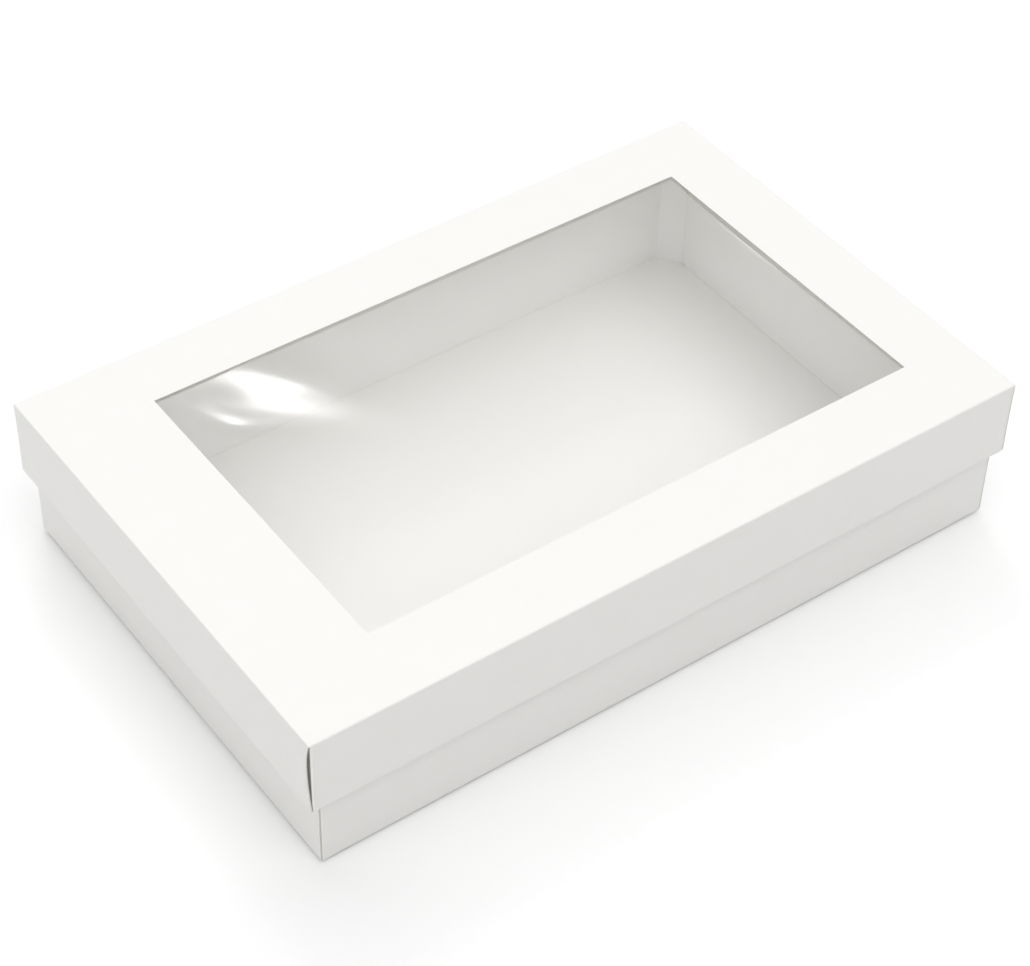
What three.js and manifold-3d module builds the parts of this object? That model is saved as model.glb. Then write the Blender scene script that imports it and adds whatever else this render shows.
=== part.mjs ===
// A folding gift box of white paperboard: a tray and a lift-off lid with a clear film window.
// Millimetres, +Z up. The origin is the centre of the tray's underside; +X is the long way, +Y the back.
// Tray and lid are folded alike from one flat blank each. Every side is a double wall: an outer wall,
// a narrow rim between two creases, and an inner panel turned back down. Ears at the ends of the long
// walls are tucked inside the end walls, which is what holds the corners. In the tray the long linings
// also carry a web across each corner, tucked in behind the end flap.
import * as THREE from "three";
import { mergeVertices } from "three/addons/utils/BufferGeometryUtils.js";
import Module from "manifold-3d";

const wasm = await Module();
wasm.setup();

// Driving sizes of the box
const LID_LENGTH = 355.6;
const LID_WIDTH = 228.6;
const LID_DEPTH = 38.1;
const BOX_HEIGHT = 74.5;

// The board, and how its plies lie
const BOARD = 0.5;
const PLY_GAP = 0.3; // air between two plies inside a wall
const SEAM = 0.02; // between two panels at their crease
const FREE_EDGE_GAP = 0.3; // a loose edge to the panel that it meets
const LOOSE_EAR_GAP = 1.2; // the outer end wall to an ear behind it, where a corner has sprung open
const LID_SIDE_PLAY = 1.2; // lid lining to tray, long sides
const LID_END_PLAY = 1.7; // lid flap to tray, short ends
const LID_SEAT_GAP = 0.3; // tray rim to the underside of the lid
const TRAY_SIDE_WALL = 2.9; // hollow long wall of the tray, face to face

// The window, by the margins of the lid's top that are left round it
const WINDOW_MARGIN_LEFT = 49.3;
const WINDOW_MARGIN_RIGHT = 31.8;
const WINDOW_MARGIN_FRONT = 35.6;
const WINDOW_MARGIN_BACK = 31.5;
const FILM = 0.2;
const FILM_OVERLAP = 13; // film beyond the cut edge, all round
const FILM_SAG = 1.5; // how far the film hangs at the middle of the window
// Where it buckles down further: the distance from the window's middle to the right and to the back, the
// buckle's half breadth and its depth
const FILM_BUCKLES = [
  { right: -85.5, back: 81, breadth: 36, depth: 5 },
  { right: 137, back: 8, breadth: 60, depth: 4.5 },
];
const GLUE_WIDTH = 4;
const GLUE_THICKNESS = 0.15;
const GLUE_FROM_EDGE = 7; // cut edge of the window to the line of glue
const GLUE_GAP = 0.05;

// Ears, webs and flaps
const TRAY_EAR = 48;
const LID_EAR = 40;
const EAR_TAPER = 3; // an ear's height lost at each edge, towards its free end
const EAR_CORNER = 5;
const TIGHT_BEND = 0.6; // outside radius of a wall's corner bend, where the creases hold it
const BEND = 0.8; // and half way up
const LOOSE_BEND = 2; // and half way up, where a corner has sprung open
const EDGE_SLIT = 0.1; // cut between a corner bend and the crease beside it
const WEB_ALONG_WALL = 7.5; // what the web cuts off the inner corner, along the long wall
const WEB_ALONG_END = 10; // and along the short end
const WEB_TUCK = 22; // the web's flat tail behind the end flap
const FLAP_SIDE_GAP = 0.7;
const FLAP_CORNER = 3;
const HINGE_GAP = 0.1;
const LID_FLAP_SIDE_GAP = 1;

// Cut side edges of the outer end walls, measured in from the corner
const EDGE_SETBACK = 0.35;
const EDGE_BOW = 0.2; // how much further the edge stands back at its belly
const LOOSE_EDGE_BOW = 2.4; // and there, where a corner has sprung open
const BELLY_HEIGHT = 0.4; // the belly's height, as a share of the wall's depth from its crease

const ARC_STEPS = 4;
const BEND_STEPS = 6;
const BEND_ROWS = 10;
const OUTLINE_STEPS = 8;
const FILM_CELLS_X = 24;
const FILM_CELLS_Y = 16;

const board = new THREE.MeshStandardMaterial({ color: 0xf4f4f2, roughness: 0.55, metalness: 0 });
const boardInside = new THREE.MeshStandardMaterial({ color: 0xecebe8, roughness: 0.7, metalness: 0 });
const film = new THREE.MeshStandardMaterial({
  color: 0xf2f6f7,
  roughness: 0.05,
  metalness: 0,
  transparent: true,
  opacity: 0.25,
});
const glue = new THREE.MeshStandardMaterial({
  color: 0xf3efe4,
  roughness: 0.3,
  metalness: 0,
  transparent: true,
  opacity: 0.6,
});

// Sizes that follow from the driving ones
const LID_END_WALL = 3 * BOARD + LOOSE_EAR_GAP + PLY_GAP;
const TRAY_END_WALL = 4 * BOARD + 3 * PLY_GAP;
const LID_SIDE_WALL = 2 * BOARD + PLY_GAP;
const TRAY_LENGTH = LID_LENGTH - 2 * (LID_END_WALL + LID_END_PLAY);
const TRAY_WIDTH = LID_WIDTH - 2 * (LID_SIDE_WALL + LID_SIDE_PLAY);
const TRAY_DEPTH = BOX_HEIGHT - BOARD - LID_SEAT_GAP;

// A panel of creased board seen on edge, as a THREE.Shape. Its inner face starts on the crease at pivot
// and runs along the unit vector along for length; the board lies to the right of that. The rounded
// outside of the crease goes with it: a sector about the pivot through the angle turn that was folded.
function creasedPanel(pivot, along, length, turn) {
  const normal = new THREE.Vector2(along.y, -along.x);
  const end = pivot.clone().addScaledVector(along, length);
  const points = [pivot.clone(), end, end.clone().addScaledVector(normal, BOARD)];
  for (let i = 0; i <= ARC_STEPS; i++) {
    const spoke = normal.clone().rotateAround(new THREE.Vector2(), (-turn * i) / ARC_STEPS);
    points.push(pivot.clone().addScaledVector(spoke, BOARD));
  }
  return new THREE.Shape(points);
}

const mirrored = (shape, signX, signY) =>
  new THREE.Shape(shape.getPoints().map((p) => new THREE.Vector2(p.x * signX, p.y * signY)));

const extruded = (shape, length) =>
  new THREE.ExtrudeGeometry(shape, { depth: length, bevelEnabled: false, curveSegments: OUTLINE_STEPS });

// An outline drawn in YZ made solid along X, centred, and one drawn in XZ made solid along Y
function alongX(shape, length) {
  const geometry = extruded(shape, length).translate(0, 0, -length / 2);
  const axes = new THREE.Matrix4().makeBasis(
    new THREE.Vector3(0, 1, 0),
    new THREE.Vector3(0, 0, 1),
    new THREE.Vector3(1, 0, 0),
  );
  return geometry.applyMatrix4(axes);
}

function alongY(shape, length) {
  return extruded(shape, length).translate(0, 0, -length / 2).rotateX(Math.PI / 2);
}

// An outline drawn in XY made solid from bottom to top
function alongZ(shape, bottom, top) {
  return extruded(shape, top - bottom).translate(0, 0, bottom);
}

function solidOf(geometry) {
  const bare = geometry.clone();
  bare.deleteAttribute("normal");
  bare.deleteAttribute("uv");
  const merged = mergeVertices(bare, 1e-4);
  return new wasm.Manifold(
    new wasm.Mesh({
      numProp: 3,
      vertProperties: new Float32Array(merged.attributes.position.array),
      triVerts: new Uint32Array(merged.index.array),
    }),
  );
}

// What two solids have in common: a folded section trimmed to its die-cut outline
function trimmed(section, outline) {
  const mesh = solidOf(section).intersect(solidOf(outline)).getMesh();
  const geometry = new THREE.BufferGeometry();
  geometry.setAttribute("position", new THREE.BufferAttribute(new Float32Array(mesh.vertProperties), 3));
  geometry.setIndex(new THREE.BufferAttribute(new Uint32Array(mesh.triVerts), 1));
  geometry.computeVertexNormals();
  return geometry;
}

function meshOf(name, geometry, material) {
  const mesh = new THREE.Mesh(geometry, material);
  mesh.name = name;
  return mesh;
}

const rectangle = (halfX, halfY, centreX = 0, centreY = 0) =>
  new THREE.Shape([
    new THREE.Vector2(centreX - halfX, centreY - halfY),
    new THREE.Vector2(centreX + halfX, centreY - halfY),
    new THREE.Vector2(centreX + halfX, centreY + halfY),
    new THREE.Vector2(centreX - halfX, centreY + halfY),
  ]);

const point = (x, y) => new THREE.Vector2(x, y);
const UP = point(0, 1);
const DOWN = point(0, -1);
const INWARD = point(-1, 0);
const SQUARE = Math.PI / 2;

// The three panels of one side, on edge: x is the distance out from the box's middle, y the height.
// outer is where the outer face stands, wall the thickness of the double wall, depth its height.
function sidePanels(outer, wall, depth) {
  const wallFace = outer - BOARD;
  const liningFace = outer - wall + BOARD;
  return {
    wall: creasedPanel(point(wallFace, BOARD), UP, depth - 2 * BOARD - SEAM, SQUARE),
    rim: creasedPanel(point(wallFace, depth - BOARD), INWARD, wallFace - liningFace - SEAM, SQUARE),
    lining: creasedPanel(point(liningFace, depth - BOARD), DOWN, depth - 2 * BOARD - FREE_EDGE_GAP, SQUARE),
  };
}

// Outline in YZ of an outer end wall. Its two side edges stand back from the corners, so that they clear
// the long walls when the side is folded up, and they bow inwards between. A quadratic curve passes half
// way between its control point and its ends, so the control point lies twice the bow away.
function endWallOutline(width, depth, bowAtMinusY, bowAtPlusY) {
  const edge = width / 2 - EDGE_SETBACK;
  const belly = (2 * BELLY_HEIGHT - 0.5) * depth;
  const shape = new THREE.Shape();
  shape.moveTo(-edge, 0);
  shape.lineTo(edge, 0);
  shape.quadraticCurveTo(edge - 2 * bowAtPlusY, belly, edge, depth);
  shape.lineTo(-edge, depth);
  shape.quadraticCurveTo(-edge + 2 * bowAtMinusY, belly, -edge, 0);
  return shape;
}

// The bend at a long wall's end with the ear that follows, for the corner at -Y and +X: the outer face
// runs along the wall to the bend, round it, and back behind the end wall. The creases hold the bend
// tight at its two edges, and it springs open between them, so its radius swells to bend half way up.
function cornerBend(earFace, wallFace, length, low, high, bend) {
  const ring = (z) => {
    const radius = TIGHT_BEND + (bend - TIGHT_BEND) * Math.sin((Math.PI * (z - low)) / (high - low));
    const centreX = earFace - radius;
    const centreY = wallFace + radius;
    const outer = [[earFace - bend - SEAM, wallFace]];
    const inner = [[earFace - bend - SEAM, wallFace + BOARD]];
    for (let i = 0; i <= BEND_STEPS; i++) {
      const angle = (SQUARE * i) / BEND_STEPS;
      outer.push([centreX + radius * Math.sin(angle), centreY - radius * Math.cos(angle)]);
      inner.push([
        centreX + (radius - BOARD) * Math.sin(angle),
        centreY - (radius - BOARD) * Math.cos(angle),
      ]);
    }
    outer.push([earFace, wallFace + length]);
    inner.push([earFace - BOARD, wallFace + length]);
    return [...outer, ...inner.reverse()].map(([x, y]) => [x, y, z]);
  };
  const rings = Array.from({ length: BEND_ROWS + 1 }, (_, k) => ring(low + ((high - low) * k) / BEND_ROWS));
  const around = rings[0].length;
  const columns = around / 2;
  const index = [];
  const quad = (a, b, c, d) => index.push(a, b, c, a, c, d);
  for (let k = 0; k < BEND_ROWS; k++) {
    for (let i = 0; i < around; i++) {
      const next = (i + 1) % around;
      quad(k * around + i, k * around + next, (k + 1) * around + next, (k + 1) * around + i);
    }
  }
  for (let i = 0; i + 1 < columns; i++) {
    const back = around - 1 - i;
    quad(i, back, back - 1, i + 1);
    const top = BEND_ROWS * around;
    quad(top + i, top + i + 1, top + back - 1, top + back);
  }
  const geometry = new THREE.BufferGeometry();
  geometry.setAttribute("position", new THREE.Float32BufferAttribute(rings.flat(2), 3));
  geometry.setIndex(index);
  return geometry;
}

// A geometry flipped to another corner, with its faces turned back outwards where the flip inverts them
function flipped(geometry, signX, signY) {
  const copy = geometry.clone().scale(signX, signY, 1);
  if (signX * signY < 0) {
    const order = copy.index.array;
    for (let i = 0; i < order.length; i += 3) {
      [order[i + 1], order[i + 2]] = [order[i + 2], order[i + 1]];
    }
  }
  return copy;
}

// Outline of a strip that reaches further each way along its crease, between near and step, than beyond
// it, between step and far. Each reach is a pair: towards minus and towards plus.
function steppedOutline(creaseReach, panelReach, near, step, far) {
  return new THREE.Shape([
    point(-creaseReach[0], near),
    point(creaseReach[1], near),
    point(creaseReach[1], step),
    point(panelReach[1], step),
    point(panelReach[1], far),
    point(-panelReach[0], far),
    point(-panelReach[0], step),
    point(-creaseReach[0], step),
  ]);
}

// Outline in YZ of an ear: full height round the corner bend, then a tongue like a web's tail
function earOutline(root, shoulder, tip, bottom, top) {
  return new THREE.Shape([
    point(root, bottom),
    point(root, top),
    point(shoulder, top),
    point(shoulder, top - FREE_EDGE_GAP),
    point(tip + EAR_CORNER, top - EAR_TAPER),
    point(tip, top - EAR_TAPER - EAR_CORNER),
    point(tip, bottom + EAR_TAPER + EAR_CORNER),
    point(tip + EAR_CORNER, bottom + EAR_TAPER),
    point(shoulder, bottom + FREE_EDGE_GAP),
    point(shoulder, bottom),
  ]);
}

// Outline in YZ of a tucked tongue from root to tip, narrowing at both edges, with its two free corners cut
function tongueOutline(root, tip, bottom, top) {
  return new THREE.Shape([
    point(root, bottom),
    point(root, top),
    point(tip + EAR_CORNER, top - EAR_TAPER),
    point(tip, top - EAR_TAPER - EAR_CORNER),
    point(tip, bottom + EAR_TAPER + EAR_CORNER),
    point(tip + EAR_CORNER, bottom + EAR_TAPER),
  ]);
}

// A hinged flap on edge: square at its foot, round about its own crease at the top
function hingedPanel(axisX, axisY, foot) {
  const shape = new THREE.Shape();
  shape.moveTo(axisX + BOARD / 2, foot);
  shape.lineTo(axisX + BOARD / 2, axisY);
  shape.absarc(axisX, axisY, BOARD / 2, 0, Math.PI, false);
  shape.lineTo(axisX - BOARD / 2, foot);
  return shape;
}

// Outline in YZ of an end flap: straight, with rounded corners at its free edge
function flapOutline(halfWidth, foot, top) {
  const shape = new THREE.Shape();
  shape.moveTo(-halfWidth, top);
  shape.lineTo(-halfWidth, foot + FLAP_CORNER);
  shape.absarc(-halfWidth + FLAP_CORNER, foot + FLAP_CORNER, FLAP_CORNER, Math.PI, 1.5 * Math.PI, false);
  shape.lineTo(halfWidth - FLAP_CORNER, foot);
  shape.absarc(halfWidth - FLAP_CORNER, foot + FLAP_CORNER, FLAP_CORNER, 1.5 * Math.PI, 2 * Math.PI, false);
  shape.lineTo(halfWidth, top);
  return shape;
}

// A folded tray, open upwards, standing on its floor panel. sideNames are for -Y and +Y, endNames for
// -X and +X. looseCorners names those that have sprung open. Returns a group of meshes named prefix_part.
function foldedTray(prefix, size, sideNames, endNames, floorShape, floorName) {
  const { length, width, depth, sideWall, endWall, ear, looseCorners, webbed } = size;
  const group = new THREE.Group();
  const add = (name, geometry, material) => group.add(meshOf(`${prefix}_${name}`, geometry, material));

  add(floorName, alongZ(floorShape, 0, BOARD), board);

  const endX = length / 2;
  const innerX = endX - endWall;
  const innerY = width / 2 - sideWall;
  // A corner's ear: where its outer face stands, behind the outer end wall, and how the wall bends into it
  const cornerAt = (sideName, endName) => {
    const loose = looseCorners.includes(`${sideName}_${endName}`);
    return {
      earFace: endX - BOARD - (loose ? LOOSE_EAR_GAP : PLY_GAP),
      bend: loose ? LOOSE_BEND : BEND,
      bow: loose ? LOOSE_EDGE_BOW : EDGE_BOW,
    };
  };
  const tailFace = innerX + BOARD + PLY_GAP; // cavity face of the web's tail, just behind the flap
  const webStart = innerX - WEB_ALONG_WALL;
  const liningHalf = webbed ? webStart - SEAM : innerX - FREE_EDGE_GAP;

  // Long sides: the outer wall is shorter than its crease by the corner bends, and the rim is shorter
  // than its own crease by the end walls
  const side = sidePanels(width / 2, sideWall, depth);
  sideNames.forEach((name, i) => {
    const sign = i === 0 ? -1 : 1;
    // Where the wall's flat part ends at each end and its bend begins
    const [flatLeft, flatRight] = endNames.map((endName) => {
      const { earFace, bend } = cornerAt(name, endName);
      return earFace - bend - 2 * SEAM;
    });
    const flat = [flatLeft, flatRight];
    const creaseHalf = endX - BOARD - SEAM;
    const wallCut = steppedOutline([creaseHalf, creaseHalf], flat, 0, BOARD, depth);
    const wallSection = alongX(mirrored(side.wall, sign, 1), length);
    add(`${name}_wall`, trimmed(wallSection, alongY(wallCut, 2 * width)), board);
    const rimCut = steppedOutline(flat, [innerX, innerX], width / 2, width / 2 - BOARD, 0);
    const rimSection = alongX(mirrored(side.rim, sign, 1), length);
    add(`${name}_rim`, trimmed(rimSection, alongZ(mirrored(rimCut, 1, sign), 0, 2 * depth)), board);
    add(`${name}_lining`, alongX(mirrored(side.lining, sign, 1), 2 * liningHalf), boardInside);
  });

  // Short ends: the outer wall is trimmed to its cut side edges, the flap to its rounded free edge
  const end = sidePanels(endX, endWall, depth);
  const rimHalf = width / 2 - BOARD - SEAM;
  const foot = BOARD + FREE_EDGE_GAP;
  endNames.forEach((name, i) => {
    const sign = i === 0 ? -1 : 1;
    const wallSection = alongY(mirrored(end.wall, sign, 1), width);
    const [bowAtMinusY, bowAtPlusY] = sideNames.map((sideName) => cornerAt(sideName, name).bow);
    const wallCut = alongX(endWallOutline(width, depth, bowAtMinusY, bowAtPlusY), 2 * length);
    add(`${name}_wall`, trimmed(wallSection, wallCut), board);
    if (webbed) {
      const axisX = innerX + BOARD / 2;
      const rimLength = endX - BOARD - (innerX + BOARD + HINGE_GAP);
      const rim = creasedPanel(point(endX - BOARD, depth - BOARD), INWARD, rimLength, SQUARE);
      const halfWidth = innerY - WEB_ALONG_END - BOARD - FLAP_SIDE_GAP;
      const flapSection = alongY(mirrored(hingedPanel(axisX, depth - BOARD / 2, foot), sign, 1), width);
      const flapCut = alongX(flapOutline(halfWidth, foot, depth), 2 * length);
      add(`${name}_rim`, alongY(mirrored(rim, sign, 1), 2 * rimHalf), board);
      add(`${name}_flap`, trimmed(flapSection, flapCut), boardInside);
    } else {
      const flapCut = alongX(flapOutline(innerY - LID_FLAP_SIDE_GAP, foot, depth), 2 * length);
      add(`${name}_rim`, alongY(mirrored(end.rim, sign, 1), 2 * rimHalf), board);
      add(`${name}_flap`, trimmed(alongY(mirrored(end.lining, sign, 1), width), flapCut), boardInside);
    }
  });

  // Corners: an ear turned in from each long wall, and in the tray a web with its tail from each lining
  const low = BOARD + FREE_EDGE_GAP;
  const high = depth - BOARD - FREE_EDGE_GAP;
  const webTurn = Math.atan2(WEB_ALONG_END, WEB_ALONG_WALL);
  const webWay = point(Math.cos(webTurn), Math.sin(webTurn));
  sideNames.forEach((sideName, i) => {
    endNames.forEach((endName, j) => {
      const signY = i === 0 ? -1 : 1;
      const signX = j === 0 ? -1 : 1;
      const corner = `${sideName}_${endName}`;
      const { earFace, bend } = cornerAt(sideName, endName);
      // Drawn for the corner at -Y, +X, where walking along the wall towards +X the fold turns left
      const fit = (shape) => mirrored(shape, signX, -signY);
      const bottom = BOARD + EDGE_SLIT;
      const top = depth - BOARD - EDGE_SLIT;
      const bent = cornerBend(earFace, -width / 2, ear, bottom, top, bend);
      const shoulder = width / 2 - bend - FREE_EDGE_GAP;
      const earShape = earOutline(width / 2 + 1, shoulder, width / 2 - ear, bottom, top);
      const earCut = alongX(mirrored(earShape, signY, 1), 2 * length);
      add(`${corner}_ear`, trimmed(flipped(bent, signX, -signY), earCut), board);
      if (webbed) {
        const webLength = (tailFace - webStart) / webWay.x;
        const web = creasedPanel(point(webStart, -innerY), webWay, webLength - SEAM, webTurn);
        add(`${corner}_web`, alongZ(fit(web), low, high), boardInside);
        const tailRoot = innerY - webLength * webWay.y;
        const tail = creasedPanel(point(tailFace, -tailRoot), UP, WEB_TUCK, SQUARE - webTurn);
        const tailShape = tongueOutline(innerY, tailRoot - WEB_TUCK, low, high);
        const tailCut = alongX(mirrored(tailShape, signY, 1), 2 * length);
        add(`${corner}_tail`, trimmed(alongZ(fit(tail), low, high), tailCut), boardInside);
      }
    });
  });
  return group;
}

// The tray
const tray = foldedTray(
  "tray",
  {
    length: TRAY_LENGTH,
    width: TRAY_WIDTH,
    depth: TRAY_DEPTH,
    sideWall: TRAY_SIDE_WALL,
    endWall: TRAY_END_WALL,
    ear: TRAY_EAR,
    looseCorners: [],
    webbed: true,
  },
  ["front", "back"],
  ["left", "right"],
  rectangle(TRAY_LENGTH / 2 - BOARD - SEAM, TRAY_WIDTH / 2 - BOARD - SEAM),
  "floor",
);

// The window in the lid's own frame, which is the box's frame turned over about X
const windowHalfX = (LID_LENGTH - WINDOW_MARGIN_LEFT - WINDOW_MARGIN_RIGHT) / 2;
const windowHalfY = (LID_WIDTH - WINDOW_MARGIN_FRONT - WINDOW_MARGIN_BACK) / 2;
const windowX = (WINDOW_MARGIN_LEFT - WINDOW_MARGIN_RIGHT) / 2;
const windowY = (WINDOW_MARGIN_BACK - WINDOW_MARGIN_FRONT) / 2;
const windowOutline = (grow) => rectangle(windowHalfX + grow, windowHalfY + grow, windowX, windowY);

// The lid: a shallower tray turned over, with the window cut in what is now its top
const topShape = rectangle(LID_LENGTH / 2 - BOARD - SEAM, LID_WIDTH / 2 - BOARD - SEAM);
topShape.holes.push(windowOutline(0));
const lid = foldedTray(
  "lid",
  {
    length: LID_LENGTH,
    width: LID_WIDTH,
    depth: LID_DEPTH,
    sideWall: LID_SIDE_WALL,
    endWall: LID_END_WALL,
    ear: LID_EAR,
    looseCorners: ["front_left"],
    webbed: false,
  },
  ["back", "front"],
  ["left", "right"],
  topShape,
  "top",
);

// The film: a thin sheet, flat where it is glued and hanging a little inside that. How far it hangs at a
// point is the sag, and each buckle's share of it, times (1 - u^4)(1 - v^4), with u and v running from -1
// to 1 between the lines of glue. A buckle's share is its depth times exp(-(distance / breadth)^2). Drawn
// in the lid's own frame, where the back is towards -Y and down is towards +Z.
function hangingSheet(halfX, halfY, freeX, freeY, near, thickness) {
  const steps = (half, free, cells) => {
    const inner = Array.from({ length: cells + 1 }, (_, i) => -free + (2 * free * i) / cells);
    return [-half, ...inner, half];
  };
  const xs = steps(halfX, freeX, FILM_CELLS_X);
  const ys = steps(halfY, freeY, FILM_CELLS_Y);
  const across = xs.length;
  const hang = (x, y) => {
    const u = Math.min(Math.abs(x) / freeX, 1);
    const v = Math.min(Math.abs(y) / freeY, 1);
    let slack = FILM_SAG;
    for (const { right, back, breadth, depth } of FILM_BUCKLES) {
      slack += depth * Math.exp(-(((x - right) / breadth) ** 2) - ((-y - back) / breadth) ** 2);
    }
    return slack * (1 - u ** 4) * (1 - v ** 4);
  };
  const layer = (offset) => ys.flatMap((y) => xs.flatMap((x) => [x, y, near + offset + hang(x, y)]));
  const count = across * ys.length;
  const index = [];
  const quad = (a, b, c, d) => index.push(a, b, c, a, c, d);
  for (let j = 0; j + 1 < ys.length; j++) {
    for (let i = 0; i + 1 < across; i++) {
      const a = j * across + i;
      quad(a, a + across, a + across + 1, a + 1);
      quad(count + a, count + a + 1, count + a + across + 1, count + a + across);
    }
  }
  const rim = [];
  for (let i = 0; i < across - 1; i++) rim.push(i);
  for (let j = 0; j < ys.length - 1; j++) rim.push(j * across + across - 1);
  for (let i = across - 1; i > 0; i--) rim.push((ys.length - 1) * across + i);
  for (let j = ys.length - 1; j > 0; j--) rim.push(j * across);
  rim.forEach((a, k) => {
    const b = rim[(k + 1) % rim.length];
    quad(a, b, count + b, count + a);
  });
  const geometry = new THREE.BufferGeometry();
  const corners = [...layer(0), ...layer(thickness)];
  geometry.setAttribute("position", new THREE.Float32BufferAttribute(corners, 3));
  geometry.setIndex(index);
  geometry.computeVertexNormals();
  return geometry;
}

// The film is stuck under the top by a line of glue round the window
const glueShape = windowOutline(GLUE_FROM_EDGE + GLUE_WIDTH);
glueShape.holes.push(windowOutline(GLUE_FROM_EDGE));
const glueTop = BOARD + GLUE_GAP;
const filmTop = glueTop + GLUE_THICKNESS + GLUE_GAP;
lid.add(meshOf("window_glue", alongZ(glueShape, glueTop, glueTop + GLUE_THICKNESS), glue));
const filmSheet = hangingSheet(
  windowHalfX + FILM_OVERLAP,
  windowHalfY + FILM_OVERLAP,
  windowHalfX + GLUE_FROM_EDGE,
  windowHalfY + GLUE_FROM_EDGE,
  filmTop,
  FILM,
);
filmSheet.translate(windowX, windowY, 0);
lid.add(meshOf("window_film", filmSheet, film));
lid.rotation.x = Math.PI;
lid.position.z = BOX_HEIGHT;

const box = new THREE.Group();
box.add(tray, lid);

export default box;
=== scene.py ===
# A white paperboard gift box: a folded tray and a folded lift-off lid with a clear film window.
# The scene is in metres in the CAD's own frame: +X along the box, +Y to its back, +Z up, origin under it.
# The sizes of the sheets and their folds are in millimetres, and each mesh is scaled as it is made.
import math

import bpy
import numpy as np
from mathutils import Matrix, Vector


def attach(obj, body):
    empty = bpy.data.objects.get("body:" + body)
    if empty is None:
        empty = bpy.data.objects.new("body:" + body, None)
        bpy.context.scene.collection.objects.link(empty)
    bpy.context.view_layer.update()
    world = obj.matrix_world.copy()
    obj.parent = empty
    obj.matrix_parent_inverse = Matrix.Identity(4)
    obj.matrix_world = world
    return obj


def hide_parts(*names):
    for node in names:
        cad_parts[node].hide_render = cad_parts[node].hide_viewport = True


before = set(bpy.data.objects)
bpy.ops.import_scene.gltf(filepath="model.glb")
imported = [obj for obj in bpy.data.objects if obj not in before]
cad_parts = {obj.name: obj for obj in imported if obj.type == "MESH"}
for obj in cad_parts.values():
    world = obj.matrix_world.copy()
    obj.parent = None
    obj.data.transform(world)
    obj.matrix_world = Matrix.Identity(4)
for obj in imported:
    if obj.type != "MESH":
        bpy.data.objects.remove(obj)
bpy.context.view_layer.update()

# The camera
# A still camera on a stand, looking down on the near corner from the left and the front. Where it
# stands and how it is turned were solved from the straight edges of the lid and the tray.
FRAME_WIDTH = 1030
FOCAL_PIXELS = 2696.35
SENSOR_WIDTH = 36
CAMERA_PLACE = Vector((-0.5077, -0.6761, 0.8311))
CAMERA_RIGHT = Vector((0.8120, -0.5832, 0.0212))
CAMERA_UP = Vector((0.3908, 0.5704, 0.7225))

lens = bpy.data.cameras.new("camera")
lens.sensor_fit = "HORIZONTAL"
lens.sensor_width = SENSOR_WIDTH
lens.lens = SENSOR_WIDTH * FOCAL_PIXELS / FRAME_WIDTH
lens.clip_end = 50
camera = bpy.data.objects.new("camera", lens)
bpy.context.scene.collection.objects.link(camera)
right = CAMERA_RIGHT.normalized()
back = right.cross(CAMERA_UP).normalized()
up = back.cross(right)
turn = Matrix((right, up, back)).transposed().to_4x4()
camera.matrix_world = Matrix.Translation(CAMERA_PLACE) @ turn
bpy.context.scene.camera = camera


# The studio
# A white sweep that the box stands on, in a room of soft light: wide pools of it overhead and on most
# sides, the strongest high in front, and two small ones behind the box, which the window's film mirrors
# to the camera at its back left. All of it is part of the room, so every shadow is soft.
def linear(hex_colour):
    """The linear RGBA of an sRGB hex colour."""
    values = [int(hex_colour[i : i + 2], 16) / 255 for i in (1, 3, 5)]
    return [v / 12.92 if v <= 0.04045 else ((v + 0.055) / 1.055) ** 2.4 for v in values] + [1.0]


def add(tree, kind, inputs=None, **settings):
    """A new node with its settings, and its inputs set to plain values or linked from sockets."""
    node = tree.nodes.new(kind)
    for name, value in settings.items():
        setattr(node, name, value)
    for name, value in (inputs or {}).items():
        if isinstance(value, bpy.types.NodeSocket):
            tree.links.new(value, node.inputs[name])
        else:
            node.inputs[name].default_value = value
    return node


def new_material(name):
    """An empty node material and its output node."""
    material = bpy.data.materials.new(name)
    material.use_nodes = True
    material.node_tree.nodes.clear()
    output = material.node_tree.nodes.new("ShaderNodeOutputMaterial")
    return material, material.node_tree, output


# Each pool: its azimuth from +X and its height in degrees, how narrow it is, and its strength
POOLS = {
    "overhead": (0, 90, 6, 0.76),
    "front": (270, 65, 8, 2.1),
    "front left": (225, 45, 8, 0.52),
    "left": (180, 45, 8, 0.32),
    "low left": (180, 3, 8, 0.82),
    "back": (90, 45, 8, 0.82),
    "back right": (45, 45, 8, 1.08),
    "glow": (68, 41, 100, 0.22),
    "glare": (65, 49, 500, 10.0),
}

world = bpy.data.worlds.new("room of soft light")
bpy.context.scene.world = world
world.use_nodes = True
room = world.node_tree
room.nodes.clear()
way = add(room, "ShaderNodeTexCoord").outputs["Generated"]
light = None
for name, (azimuth, height, narrowness, strength) in POOLS.items():
    turn, rise = math.radians(azimuth), math.radians(height)
    middle = (math.cos(turn) * math.cos(rise), math.sin(turn) * math.cos(rise), math.sin(rise))
    near = add(room, "ShaderNodeVectorMath", {0: way, 1: middle}, operation="DOT_PRODUCT")
    ahead = add(room, "ShaderNodeMath", {0: near.outputs["Value"], 1: 0.0}, operation="MAXIMUM")
    pool = add(room, "ShaderNodeMath", {0: ahead.outputs[0], 1: narrowness}, operation="POWER")
    pool = add(room, "ShaderNodeMath", {0: pool.outputs[0], 1: strength}, operation="MULTIPLY", label=name)
    if light:
        pool = add(room, "ShaderNodeMath", {0: light, 1: pool.outputs[0]}, operation="ADD")
    light = pool.outputs[0]
shining = add(room, "ShaderNodeBackground", {"Color": linear("#FFFFFF"), "Strength": light})
add(room, "ShaderNodeOutputWorld", {"Surface": shining.outputs[0]})

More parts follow.
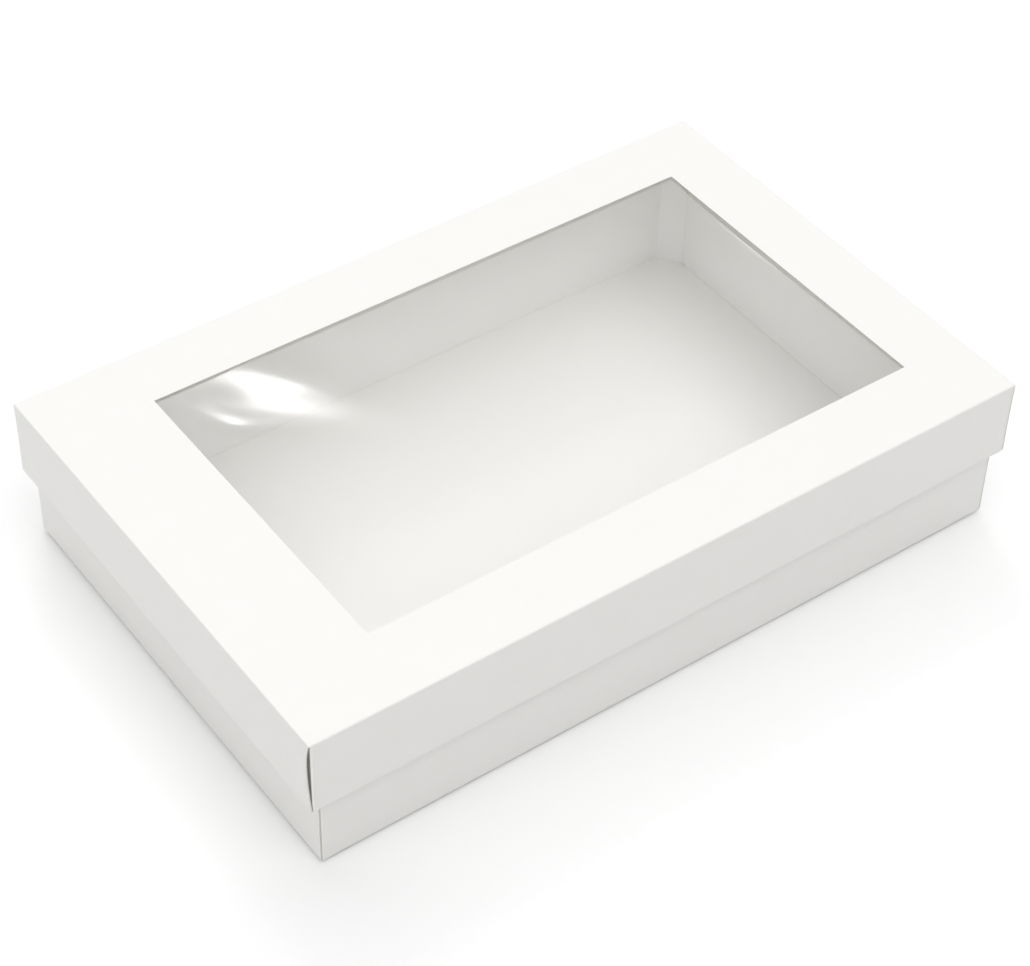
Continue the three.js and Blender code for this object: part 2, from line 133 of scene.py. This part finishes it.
SWEEP_HALF = 16.0
sweep_mesh = bpy.data.meshes.new("sweep")
sweep_corners = [(x * SWEEP_HALF, y * SWEEP_HALF, 0) for x, y in ((-1, -1), (1, -1), (1, 1), (-1, 1))]
sweep_mesh.from_pydata(sweep_corners, [], [(0, 1, 2, 3)])
sweep = bpy.data.objects.new("sweep", sweep_mesh)
bpy.context.scene.collection.objects.link(sweep)
paper, tree, output = new_material("white background paper, matt")
path = add(tree, "ShaderNodeLightPath").outputs
seen = path["Is Camera Ray"]
for kind in ("Is Glossy Ray", "Is Transmission Ray"):
    seen = add(tree, "ShaderNodeMath", {0: seen, 1: path[kind]}, operation="MAXIMUM").outputs[0]
matt = add(tree, "ShaderNodeBsdfDiffuse", {"Color": linear("#F4F4F4")})
bright = add(tree, "ShaderNodeBsdfDiffuse", {"Color": linear("#FFFFFF")})
either = add(tree, "ShaderNodeMixShader", {0: seen, 1: matt.outputs[0], 2: bright.outputs[0]})
tree.links.new(either.outputs[0], output.inputs["Surface"])
sweep_mesh.materials.append(paper)

# The board
# Solid bleached paperboard of about 350 grams, half a millimetre thick, coated on its outer face. It is
# near white with a low satin sheen; the fibres give the coat a faint tooth that raking light picks up.
# Its uncoated back is duller and warmer, and a cut edge shows the bare fibres.
BOARD = 0.5
FIBRE_SIZE = 0.0009  # metres, as are the next two
FIBRE_RELIEF = 0.00004
FORMATION_SIZE = 0.012
SHEEN_SPREAD = 0.02


def board_material(name, colour, shade, roughness, tooth):
    """Paperboard: its colour clouds faintly with the sheet's formation, and a fine noise gives it tooth."""
    material, tree, output = new_material(name)
    place = add(tree, "ShaderNodeTexCoord").outputs["Object"]
    formation = {"Vector": place, "Scale": 1 / FORMATION_SIZE, "Detail": 4.0, "Roughness": 0.6}
    clouds = add(tree, "ShaderNodeTexNoise", formation).outputs["Fac"]
    tint = add(tree, "ShaderNodeMix", data_type="RGBA")
    tree.links.new(clouds, tint.inputs["Factor"])
    tint.inputs[6].default_value = linear(colour)
    tint.inputs[7].default_value = linear(shade)
    weave = {"Vector": place, "Scale": 1 / FIBRE_SIZE, "Detail": 3.0, "Roughness": 0.65}
    fibres = add(tree, "ShaderNodeTexNoise", weave).outputs["Fac"]
    height = {"Height": fibres, "Strength": tooth, "Distance": FIBRE_RELIEF}
    relief = add(tree, "ShaderNodeBump", height).outputs[0]
    least, most = roughness - SHEEN_SPREAD, roughness + SHEEN_SPREAD
    span = {"Value": clouds, "From Min": 0.3, "From Max": 0.7, "To Min": least, "To Max": most}
    sheen = add(tree, "ShaderNodeMapRange", span).outputs[0]
    surface = {"Base Color": tint.outputs[2], "Roughness": sheen, "Normal": relief}
    coat = add(tree, "ShaderNodeBsdfPrincipled", surface)
    coat.inputs["Specular IOR Level"].default_value = 0.35
    tree.links.new(coat.outputs[0], output.inputs["Surface"])
    return material


coated = board_material("coated white paperboard, satin", "#FAF9F7", "#F8F7F4", 0.5, 0.2)
uncoated = board_material("white paperboard back, uncoated", "#F4F3F0", "#F1EFEB", 0.75, 0.4)
cut_edge = board_material("white paperboard, cut edge", "#EDEAE4", "#E0DCD4", 0.8, 0.6)


def sheet_piece(node, outer, normals, thickness, body, finish):
    """A sheet from the grid of points on its outer face and the directions they look in. The back lies
    thickness behind that, and a strip closes every edge that only one cell of the grid has. Cells whose
    corners aren't numbers are left out, which is how a window is cut."""
    count = outer.shape[0] * outer.shape[1]
    front_points = outer.reshape(-1, 3)
    number = np.arange(count).reshape(outer.shape[:2])
    cells = np.stack([number[:-1, :-1], number[1:, :-1], number[1:, 1:], number[:-1, 1:]], axis=-1)
    cells = cells.reshape(-1, 4)
    cells = cells[~np.isnan(front_points[cells].mean(axis=(1, 2)))]
    spans = front_points[cells[:, 1:4:2]] - front_points[cells[:, :1]]
    if (np.cross(spans[:, 0], spans[:, 1]) * normals.reshape(-1, 3)[cells[:, 0]]).sum() < 0:
        cells = cells[:, ::-1]
    edges = np.concatenate([cells[:, [0, 1]], cells[:, [1, 2]], cells[:, [2, 3]], cells[:, [3, 0]]])
    lone = edges[~np.isin(edges @ [count, 1], edges @ [1, count])]
    strips = np.stack([lone[:, 1], lone[:, 0], lone[:, 0] + count, lone[:, 1] + count], axis=1)
    faces = np.concatenate([cells, cells[:, ::-1] + count, strips])
    points = np.concatenate([front_points, (outer - thickness * normals).reshape(-1, 3)]) / 1000
    used, faces = np.unique(faces, return_inverse=True)
    mesh = bpy.data.meshes.new(node + "_sheet")
    mesh.from_pydata(points[used].tolist(), [], faces.reshape(-1, 4).tolist())
    for material in finish:
        mesh.materials.append(material)
    kinds = np.repeat([0, 1, 2], [len(cells), len(cells), len(strips)]) % len(finish)
    mesh.polygons.foreach_set("material_index", kinds.astype(np.int32))
    mesh.polygons.foreach_set("use_smooth", np.ones(len(faces.reshape(-1, 4)), bool))
    mesh.set_sharp_from_angle(angle=math.radians(35))
    piece = bpy.data.objects.new(node + "_sheet", mesh)
    bpy.context.scene.collection.objects.link(piece)
    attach(piece, body)
    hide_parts(node)


def board_piece(node, outer, normals, body, slot="board"):
    """A panel of the board, its coated face outwards."""
    sheet_piece(node, outer, normals, BOARD, body, (coated, uncoated, cut_edge))


# The creases
# Every panel ends at creases, where the board was pressed along a line and folded. A fold's outside is
# a soft rounding of about a millimetre, and each of the two panels that meet there has half of it.
CREASE = 0.8
SEAM = 0.02  # what is left free where two pieces end at each other
SQUARE = math.pi / 2
EDGE_STEP = 0.03  # a close row of points keeps the shading flat up to the roundings


def creased(start, end, facing, folds, radii, shares=(0.5, 0.5), rows=24, stops=()):
    """A panel seen on edge: its share of the first fold's rounding, its flat, and its share of the
    second's. start and end are where the outer planes meet, and facing is the way that the outer face
    looks. A rounding's points are its centre plus the radius times a normal, and the normal swings from
    the share of the fold down to none. A hollow fold has a negative angle and a negative radius, and a cut
    edge has no angle."""
    start, end, facing = (np.array(v, dtype=float) for v in (start, end, facing))
    run = (end - start) / np.linalg.norm(end - start)
    roundings = []
    for place, way, fold, radius, share in zip((start, end), (run, -run), folds, radii, shares):
        swing = np.linspace(fold * share, 0, 6 if fold else 1)[:, None]
        normals = facing * np.cos(swing) - way * np.sin(swing)
        centre = place + way * radius * math.tan(fold / 2) - facing * radius
        roundings.append((centre + radius * normals, normals))
    (first, first_normals), (last, last_normals) = roundings
    length = np.linalg.norm(last[-1] - first[-1])
    steps = np.unique(np.concatenate([np.linspace(EDGE_STEP, length - EDGE_STEP, rows), stops]))
    points = np.vstack([first, first[-1] + run * steps[:, None], last[::-1]])
    normals = np.vstack([first_normals, np.tile(facing, (len(steps), 1)), last_normals[::-1]])
    return points, normals


# Each side of the box: the way along it, the way out of it, and the corners at its two ends
SIDES = {
    "front": ((1, 0, 0), (0, -1, 0), ("front_left", "front_right")),
    "right": ((0, 1, 0), (1, 0, 0), ("front_right", "back_right")),
    "back": ((-1, 0, 0), (0, 1, 0), ("back_right", "back_left")),
    "left": ((0, -1, 0), (-1, 0, 0), ("back_left", "front_left")),
}
UP = np.array((0, 0, 1))


def carried(side, section, reach, bow=0.0, columns=48):
    """A section (distance out, height) carried along one side, each of its points from one reach to the
    other. The panel bows back by bow times sin(pi h)(1 - s^2), h and s running over it from 0 to 1 and
    from -1 to 1."""
    points, normals = section
    along, outward, _ = SIDES[side]
    reach = np.broadcast_to(np.array(reach, dtype=float).reshape(2, -1), (2, len(points)))
    share = np.linspace(0, 1, columns)
    place = reach[0][:, None] * (1 - share) + reach[1][:, None] * share
    height = np.linalg.norm(points - points[0], axis=1) / np.linalg.norm(points[-1] - points[0])
    back = bow * np.sin(np.pi * height)[:, None] * (1 - (2 * share - 1) ** 2)
    out = points[:, :1] - back * normals[:, :1]
    up = points[:, 1:] - back * normals[:, 1:]
    grid = place[..., None] * np.array(along) + out[..., None] * np.array(outward) + up[..., None] * UP
    looks = normals[:, :1] * np.array(outward) + normals[:, 1:] * UP
    return grid, np.broadcast_to(looks[:, None, :], grid.shape)


# The tray's floor
# One panel of the tray's blank, with a crease along each of its four edges. It bellies down a little, so
# the box stands on its middle and a dark line of air shows under its outer walls.
FLOOR_BELLY = 1.0
TRAY = {
    "name": "tray",
    "length": 173.1,  # half of the outside, as is the width
    "width": 111.8,
    "base": FLOOR_BELLY,  # the height at which the walls are folded from the base
    "brim": 73.7,
    "up": 1,  # the way from the base to the brim
    "side": 2.9,  # how thick the double walls are
    "end": 2.9,
    "crease": 1.2,  # the rounding along the base
    "loose": (),  # the corners that stand open
    "ear": 48,  # how far an ear reaches behind the end wall
}


def base_panel(tray, node, sag, window=None):
    """A tray's base: flat, its four edges rounding away into the creases. The height lost is the sum of
    what the two sections lose, and the sag is the given depth times (1 - u^2)(1 - v^2)."""
    half_length, half_width, crease, up = tray["length"], tray["width"], tray["crease"], tray["up"]
    spans = []
    for half, cuts in zip((half_length, half_width), window or ((), ())):
        stops = [cut + half - crease for cut in cuts]
        across = (-half, 0), (half, 0), (0, 1), (SQUARE, SQUARE), (crease, crease)
        spans.append(creased(*across, rows=60, stops=stops))
    (xs, x_normals), (ys, y_normals) = spans
    x, y = xs[None, :, 0], ys[:, None, 0]
    loss = -xs[None, :, 1] - ys[:, None, 1]
    dish = sag * (1 - (x / half_length) ** 2) * (1 - (y / half_width) ** 2)
    grid = np.stack([x + 0 * y, y + 0 * x, tray["base"] + up * (loss + dish)], axis=-1)
    upright = x_normals[None, :, 1] * y_normals[:, None, 1]
    aside, along = x_normals[None, :, 0] + 0 * y, y_normals[:, None, 0] + 0 * x
    looks = np.stack([aside, along, -up * upright], axis=-1)
    looks /= np.linalg.norm(looks, axis=-1, keepdims=True)
    if window:
        (x0, x1), (y0, y1) = window
        edge = 0.01  # so the points on the window's own edge stay
        grid[(x > x0 + edge) & (x < x1 - edge) & (y > y0 + edge) & (y < y1 - edge)] = np.nan
    board_piece(node, grid, looks, tray["name"])


base_panel(TRAY, "tray_floor", -FLOOR_BELLY)

# The tray's long sides
# Each is a hollow double wall: the outer wall folds up from the floor, a rim of three millimetres turns
# it inwards, and the lining hangs back down to the floor, held by its webs. The coated face of the board
# stays in sight all the way. The outer wall ends where the bends of its two ears begin.
CORNER_BEND = 0.8
# Each kind of corner: the air between its ear and the end wall, how far that wall's cut edge bows back,
# and how far the ear leans in
TIGHT = {"gap": 0.3, "bow": 0.2, "lean": 0.0}
LOOSE = {"gap": 0.4, "bow": 2.4, "lean": 1.5}
WALL_BOW = 0.25
LINING_BOW = -0.3
RIM_FLAT = 0.05  # half of what stays flat on the narrowest rim
WEB_ALONG_WALL = 7.5
WEB_ALONG_END = 10.0
WEB_CREASE = 0.8
WEB_TURN = math.atan2(WEB_ALONG_END, WEB_ALONG_WALL)


def corner_of(tray, corner):
    """How a corner was folded, and where its ear's outer face stands."""
    fold = LOOSE if corner in tray["loose"] else TIGHT
    return {**fold, "ear": tray["length"] - BOARD - fold["gap"]}


def long_side(tray, side, lining_reach):
    """The wall, the rim and the lining of one long side. Along a crease the wall reaches to the end walls,
    and beyond it only to where the corner bends begin."""
    name = f"{tray['name']}_{side}"
    n, base, brim, wall, up = (tray[key] for key in ("width", "base", "brim", "side", "up"))
    tuck = min(CREASE, wall / 2 - RIM_FLAT)
    ears = np.array([corner_of(tray, corner)["ear"] for corner in SIDES[side][2]])
    flat = ears - CORNER_BEND - 2 * SEAM
    section = creased((n, base), (n, brim), (1, 0), (SQUARE, SQUARE), (tray["crease"], tuck))
    on_crease = np.abs(section[0][:, 1] - base) <= tray["crease"] + 0.001
    reach = np.where(on_crease, tray["length"] - BOARD - SEAM, flat[:, None]) * [[-1], [1]]
    board_piece(name + "_wall", *carried(side, section, reach, WALL_BOW), tray["name"])
    section = creased((n, brim), (n - wall, brim), (0, up), (SQUARE, SQUARE), (tuck, tuck), rows=3)
    on_wall = section[0][:, 0] > n - BOARD
    reach = np.where(on_wall, flat[:, None], tray["length"] - tray["end"]) * [[-1], [1]]
    board_piece(name + "_rim", *carried(side, section, reach), tray["name"])
    section = creased((n - wall, brim), (n - wall, base + up * BOARD), (-1, 0), (SQUARE, 0), (tuck, 1))
    lining = carried(side, section, (-lining_reach, lining_reach), LINING_BOW)
    board_piece(name + "_lining", *lining, tray["name"], "board_lining")


web_crease_start = WEB_ALONG_WALL + WEB_CREASE * math.tan(WEB_TURN / 2)
for side in ("front", "back"):
    long_side(TRAY, side, TRAY["length"] - TRAY["end"] - web_crease_start)

# The tray's ends
# The outer wall folds up from the floor last, over the ears, so its two side edges are cut edges that
# stand back a little from the corners. A rim and then the end flap turn inwards over the ears; the flap
# hangs free from its crease and swings on it.
EDGE_SETBACK = 0.35
HINGE_SETBACK = 0.6  # a tray's rim ends short of its flap's face, and the flap starts a little lower
HINGE_DROP = 0.12
FLAP_FOOT_GAP = 0.1
FLAP_SIDE_GAP = 0.7
FLAP_CORNER = 3


def set_back(height, bow):
    """How far an end wall's cut edge stands back at a share of its height from the crease. The edge is a
    quadratic curve with its control point at three tenths of the height, twice the bow away."""
    t = (-0.6 + np.sqrt(0.36 + 1.6 * np.clip(height, 0, 1))) / 0.8
    return EDGE_SETBACK + 4 * bow * t * (1 - t)


def end_side(tray, side):
    """The outer wall and the rim of one end."""
    name = f"{tray['name']}_{side}"
    n, base, brim, wall, up = (tray[key] for key in ("length", "base", "brim", "end", "up"))
    section = creased((n, base), (n, brim), (1, 0), (SQUARE, SQUARE), (tray["crease"], CREASE))
    height = (section[0][:, 1] - base) / (brim - base)
    bows = [corner_of(tray, corner)["bow"] for corner in SIDES[side][2]]
    edges = np.array([tray["width"] - set_back(height, bow) for bow in bows]) * [[-1], [1]]
    board_piece(name + "_wall", *carried(side, section, edges, WALL_BOW), tray["name"])
    hinged = tray["name"] == "tray"
    folds = (SQUARE, 0) if hinged else (SQUARE, SQUARE)
    inner = n - wall + HINGE_SETBACK if hinged else n - wall
    section = creased((n, brim), (inner, brim), (0, up), folds, (CREASE, CREASE), rows=3)
    half = tray["width"] - BOARD - SEAM
    board_piece(name + "_rim", *carried(side, section, (-half, half)), tray["name"])


def end_flap(tray, side, half, body, top_fold, bow):
    """An end's inner panel, from the rim's crease down to a free edge with two round corners."""
    name = f"{tray['name']}_{side}_flap"
    n, up = tray["length"] - tray["end"], tray["up"]
    foot = tray["base"] + up * (BOARD + FLAP_FOOT_GAP)
    top = tray["brim"] if top_fold else tray["brim"] - up * HINGE_DROP
    section = creased((n, top), (n, foot), (-1, 0), (top_fold, 0), (CREASE, 1))
    above = np.clip(FLAP_CORNER - np.abs(section[0][:, 1] - foot), 0, FLAP_CORNER)
    reach = half - (FLAP_CORNER - np.sqrt(FLAP_CORNER**2 - above**2))
    board_piece(name, *carried(side, section, np.stack([-reach, reach]), bow), body, "board_lining")


flap_half = TRAY["width"] - TRAY["side"] - WEB_ALONG_END - BOARD - FLAP_SIDE_GAP
for side in ("left", "right"):
    end_side(TRAY, side)
    end_flap(TRAY, side, flap_half, side + "_flap", 0.0, LINING_BOW)

# The ears
# Each long wall carries an ear at either end, bent round the corner and tucked in behind the end wall.
# The creases hold the bend tight at its top and bottom, and between them the board springs open, so the
# bend's radius swells towards the middle of its height. A short slit frees it from both creases.
EAR_SLIT = 0.05
EAR_STEP = 0.3
EAR_TAPER = 3
EAR_CORNER = 5
TIGHT_BEND = 0.6
LEAN_RUN = 0.9  # within three of these an ear has nearly all its lean


def signs(corner):
    """What carries a plan that is drawn for the back right corner to another one."""
    return np.array([-1 if "left" in corner else 1, -1 if "front" in corner else 1])


def ear(tray, corner):
    """The radius at a height h is the tight one plus what it gains times sin(pi h). In plan the outer face
    runs straight to the bend, round a quarter circle or more, and on behind the end wall, from which it
    leans back by the lean times sin(pi h)(1 - exp(-w / LEAN_RUN)), w being the way from the bend. The
    sheet loses height in a step behind the bend, then slowly, and at its end in a slanted corner."""
    fold = corner_of(tray, corner)
    length = tray["ear"]
    slits = {tray["base"]: tray["crease"] + EAR_SLIT, tray["brim"]: CREASE + EAR_SLIT}
    low, high = sorted(slits)
    bottom, top = low + slits[low], high - slits[high]
    middle, half_height = (bottom + top) / 2, (top - bottom) / 2
    h = np.linspace(0, 1, 25)[:, None]
    radius = TIGHT_BEND + (CORNER_BEND - TIGHT_BEND) * np.sin(np.pi * h)
    lean = fold["lean"] * np.sin(np.pi * h)
    turn = np.linspace(0, 1, 15)[None, :] * (SQUARE + np.arctan(lean / LEAN_RUN))
    lead = fold["ear"] - CORNER_BEND - SEAM
    ahead = np.linspace(0, 1, 3)[None, :-1]
    past_step, cut = EAR_STEP + EDGE_STEP, length - EAR_CORNER
    behind = np.array([[0.1, EAR_STEP, past_step, 0.6, 1, 1.5, 2.2, 3, 4, 10, 16, 24, cut, length]])
    fading = np.exp(-behind / LEAN_RUN)
    ahead_p = lead + (fold["ear"] - radius - lead) * ahead
    bent_p = fold["ear"] - radius + radius * np.sin(turn)
    p = np.hstack([ahead_p, bent_p, bent_p[:, -1:] - lean * (1 - fading)])
    bent_q = radius * (1 - np.cos(turn))
    straight_q = bent_q[:, -1:] + (length - bent_q[:, -1:]) * behind / length
    q = np.hstack([0 * h + 0 * ahead, bent_q, straight_q])
    zeros = np.zeros((len(h), 2))
    angle = np.hstack([zeros, turn, SQUARE + np.arctan(lean / LEAN_RUN * fading)])
    walk = np.hstack([zeros[:1], 0 * turn[:1], behind])
    lost = [0, 0, EAR_STEP, EAR_TAPER, EAR_TAPER + EAR_CORNER]
    taper = np.interp(walk, [0, EAR_STEP, past_step, cut, length], lost)
    z = middle + (2 * h - 1) * (half_height - taper)
    x_sign, y_sign = signs(corner)
    grid = np.stack([x_sign * p, y_sign * (tray["width"] - q), z + 0 * p], axis=-1)
    looks = np.stack([x_sign * np.sin(angle), y_sign * np.cos(angle), 0 * angle], axis=-1)
    board_piece(f"{tray['name']}_{corner}_ear", grid, looks, tray["name"])


CORNERS = ("front_left", "front_right", "back_left", "back_right")
for corner in CORNERS:
    ear(TRAY, corner)

# The webs
# A strip at each end of a lining cuts across the inner corner, and its tail is tucked in behind the end
# flap, which holds the lining upright.
WEB_TUCK = 22.0
PLY_GAP = 0.3
WEB_TAPER = ([0, 1], [0, 0])
TAIL_TAPER = ([0, 0.03, 0.78, 1], [0, 0, 3, 8])


def standing(node, corner, section, narrow):
    """A section in plan, drawn for the back right corner, stood up from the tray's floor to its brim. At
    the given shares of its way the sheet loses the given millimetres at both edges."""
    points, normals = section
    walk = np.linalg.norm(points - points[0], axis=1)
    taper = np.interp(walk / walk[-1], *narrow)
    bottom, top = TRAY["base"] + BOARD, TRAY["brim"] - CREASE
    h = np.linspace(0, 1, 20)[:, None]
    z = (bottom + taper) * (1 - h) + (top - taper) * h
    flat = (points * signs(corner))[None] + np.zeros((len(h), 1, 2))
    looks = (normals * signs(corner))[None] + np.zeros((len(h), 1, 2))
    grid = np.concatenate([flat, z[..., None]], axis=-1)
    looks = np.concatenate([looks, 0 * z[..., None]], axis=-1)
    board_piece(node, grid, looks, "tray", "board_lining")


inner_x, inner_y = TRAY["length"] - TRAY["end"], TRAY["width"] - TRAY["side"]
tail_x = inner_x + BOARD + PLY_GAP
root_x = inner_x - WEB_ALONG_WALL
tail_y = inner_y - (tail_x - root_x) * math.tan(WEB_TURN)
root, turn_in = (root_x, inner_y), (tail_x, tail_y)
facing = (-math.sin(WEB_TURN), -math.cos(WEB_TURN))
turn_back = SQUARE - WEB_TURN
web = creased(root, turn_in, facing, (-WEB_TURN, -turn_back), (-WEB_CREASE, -WEB_CREASE), (1.0, 0.5))
tail = creased(turn_in, (tail_x, tail_y - WEB_TUCK), (-1, 0), (-turn_back, 0), (-WEB_CREASE, 1))
for corner in CORNERS:
    standing(f"tray_{corner}_web", corner, web, WEB_TAPER)
    standing(f"tray_{corner}_tail", corner, tail, TAIL_TAPER)

# The lid's top
# The lid is folded as the tray is, only shallower, and turned over. The window is cut out of its base
# panel, off its middle. The four margins that are left sag a little towards it.
LID = {
    "name": "lid",
    "length": 177.8,
    "width": 114.3,
    "base": 74.5,
    "brim": 36.4,
    "up": -1,
    "side": 1.3,
    "end": 3.0,
    "crease": CREASE,
    "loose": ("front_left",),
    "ear": 40,
}
WINDOW = ((-128.5, 146.0), (-78.7, 82.8))
TOP_SAG = 0.4
base_panel(LID, "lid_top", TOP_SAG, WINDOW)

# The lid's sides
# Its long sides are double walls folded tight, and its short ends hollow ones over the ears. At the
# near corner the end wall's edge stands well back and the ear behind it leans inwards, so a dark slit
# shows there between the two.
LID_LINING_GAP = 0.3
LID_FLAP_GAP = 1
LID_FLAP_BOW = -0.2
for side in ("front", "back"):
    long_side(LID, side, LID["length"] - LID["end"] - LID_LINING_GAP)
for side in ("left", "right"):
    end_side(LID, side)
    end_flap(LID, side, LID["width"] - LID["side"] - LID_FLAP_GAP, "lid", SQUARE, LID_FLAP_BOW)
for corner in CORNERS:
    ear(LID, corner)

# The film
# Clear polyester film, a fifth of a millimetre thick, glued under the lid's top round the window. It was
# glued down slack, so it hangs and wrinkles. It is nearly smooth, so it shows a slightly softened mirror
# image of the room over what lies behind it, and its two faces together mirror nearly twice what one does.
FILM = 0.2
FILM_EDGE = 13.0  # how far it reaches beyond the window's edges
FILM_TOP = 73.75
GLUE_FROM_EDGE = 7.0
FILM_SAG = 1.5
BOTH_FACES = 1.9
SLOPE_STEP = 0.1
# Each wrinkle: its middle, the way it runs in degrees, how long and how broad it is, and how deep it
# hangs, less than nothing where it stands up
WRINKLES = (
    (146, 10, 0, 60, 60, 2.8),
    (147, 42, 90, 36, 9, 3.5),
    (-80, 73, -54, 38, 13, -2.2),
    (-92, 77, -37, 18, 10, 0.7),
    (-112, 68, 26, 20, 9, -0.4),
    (-103, 60, -39, 21, 5, 0.2),
    (-112, 58, -60, 11, 4, 0.5),
    (-109, 53, -35, 22, 5, 0.4),
)

film, tree, output = new_material("clear polyester film, glossy")
through = add(tree, "ShaderNodeBsdfTransparent", {"Color": linear("#FFFFFF")})
mirror = add(tree, "ShaderNodeBsdfAnisotropic", {"Color": linear("#FFFFFF"), "Roughness": 0.09})
share = add(tree, "ShaderNodeFresnel", {"IOR": 1.57}).outputs[0]
back_face = add(tree, "ShaderNodeNewGeometry").outputs["Backfacing"]
front_face = add(tree, "ShaderNodeMath", {0: 1.0, 1: back_face}, operation="SUBTRACT").outputs[0]
double = add(tree, "ShaderNodeMath", {0: BOTH_FACES, 1: front_face}, operation="MULTIPLY").outputs[0]
both = add(tree, "ShaderNodeMath", {0: share, 1: double}, operation="MULTIPLY", use_clamp=True)
mixed = add(tree, "ShaderNodeMixShader", {0: both.outputs[0], 1: through.outputs[0], 2: mirror.outputs[0]})
tree.links.new(mixed.outputs[0], output.inputs["Surface"])


def film_height(x, y):
    """The film's upper face. It follows the board's sag, and hangs below that by (1 - u^4)(1 - v^4) times
    the slack, u and v running from -1 to 1 between the glue lines. The slack is the sag plus, for each
    wrinkle, its depth times exp(-(p / length)^2 - (q / breadth)^2), p and q being the distances along
    and across it."""
    (x0, x1), (y0, y1) = WINDOW
    u = np.clip((x - (x0 + x1) / 2) / ((x1 - x0) / 2 + GLUE_FROM_EDGE), -1, 1)
    v = np.clip((y - (y0 + y1) / 2) / ((y1 - y0) / 2 + GLUE_FROM_EDGE), -1, 1)
    slack = FILM_SAG
    for middle_x, middle_y, way, long, broad, depth in WRINKLES:
        run_x, run_y = math.cos(math.radians(way)), math.sin(math.radians(way))
        p = (x - middle_x) * run_x + (y - middle_y) * run_y
        q = (y - middle_y) * run_x - (x - middle_x) * run_y
        slack = slack + depth * np.exp(-((p / long) ** 2) - (q / broad) ** 2)
    board = TOP_SAG * (1 - (x / LID["length"]) ** 2) * (1 - (y / LID["width"]) ** 2)
    return FILM_TOP - board - slack * (1 - u**4) * (1 - v**4)


def height_normals(x, y, height):
    """The upward normals of a height map, from its slopes over a step to either side."""
    slope_x = (height(x + SLOPE_STEP, y) - height(x - SLOPE_STEP, y)) / (2 * SLOPE_STEP)
    slope_y = (height(x, y + SLOPE_STEP) - height(x, y - SLOPE_STEP)) / (2 * SLOPE_STEP)
    looks = np.stack([-slope_x, -slope_y, 1 + 0 * slope_x], axis=-1)
    return looks / np.linalg.norm(looks, axis=-1, keepdims=True)


(left, right), (front, back) = WINDOW
columns = np.linspace(left - FILM_EDGE, right + FILM_EDGE, 241)
rows = np.linspace(front - FILM_EDGE, back + FILM_EDGE, 151)
x, y = np.meshgrid(columns, rows)
film_face = np.stack([x, y, film_height(x, y)], axis=-1)
sheet_piece("window_film", film_face, height_normals(x, y, film_height), FILM, "lid", (film,))

# The glue
# A line of water-based glue laid round the window, dried clear and slightly milky.
glue, tree, output = new_material("dried clear glue")
milky = add(tree, "ShaderNodeBsdfPrincipled", {"Base Color": linear("#F2EFE6"), "Roughness": 0.35})
tree.links.new(milky.outputs[0], output.inputs["Surface"])
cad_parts["window_glue"].data.materials.clear()
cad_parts["window_glue"].data.materials.append(glue)

bpy.context.scene.view_settings.view_transform = "Standard"
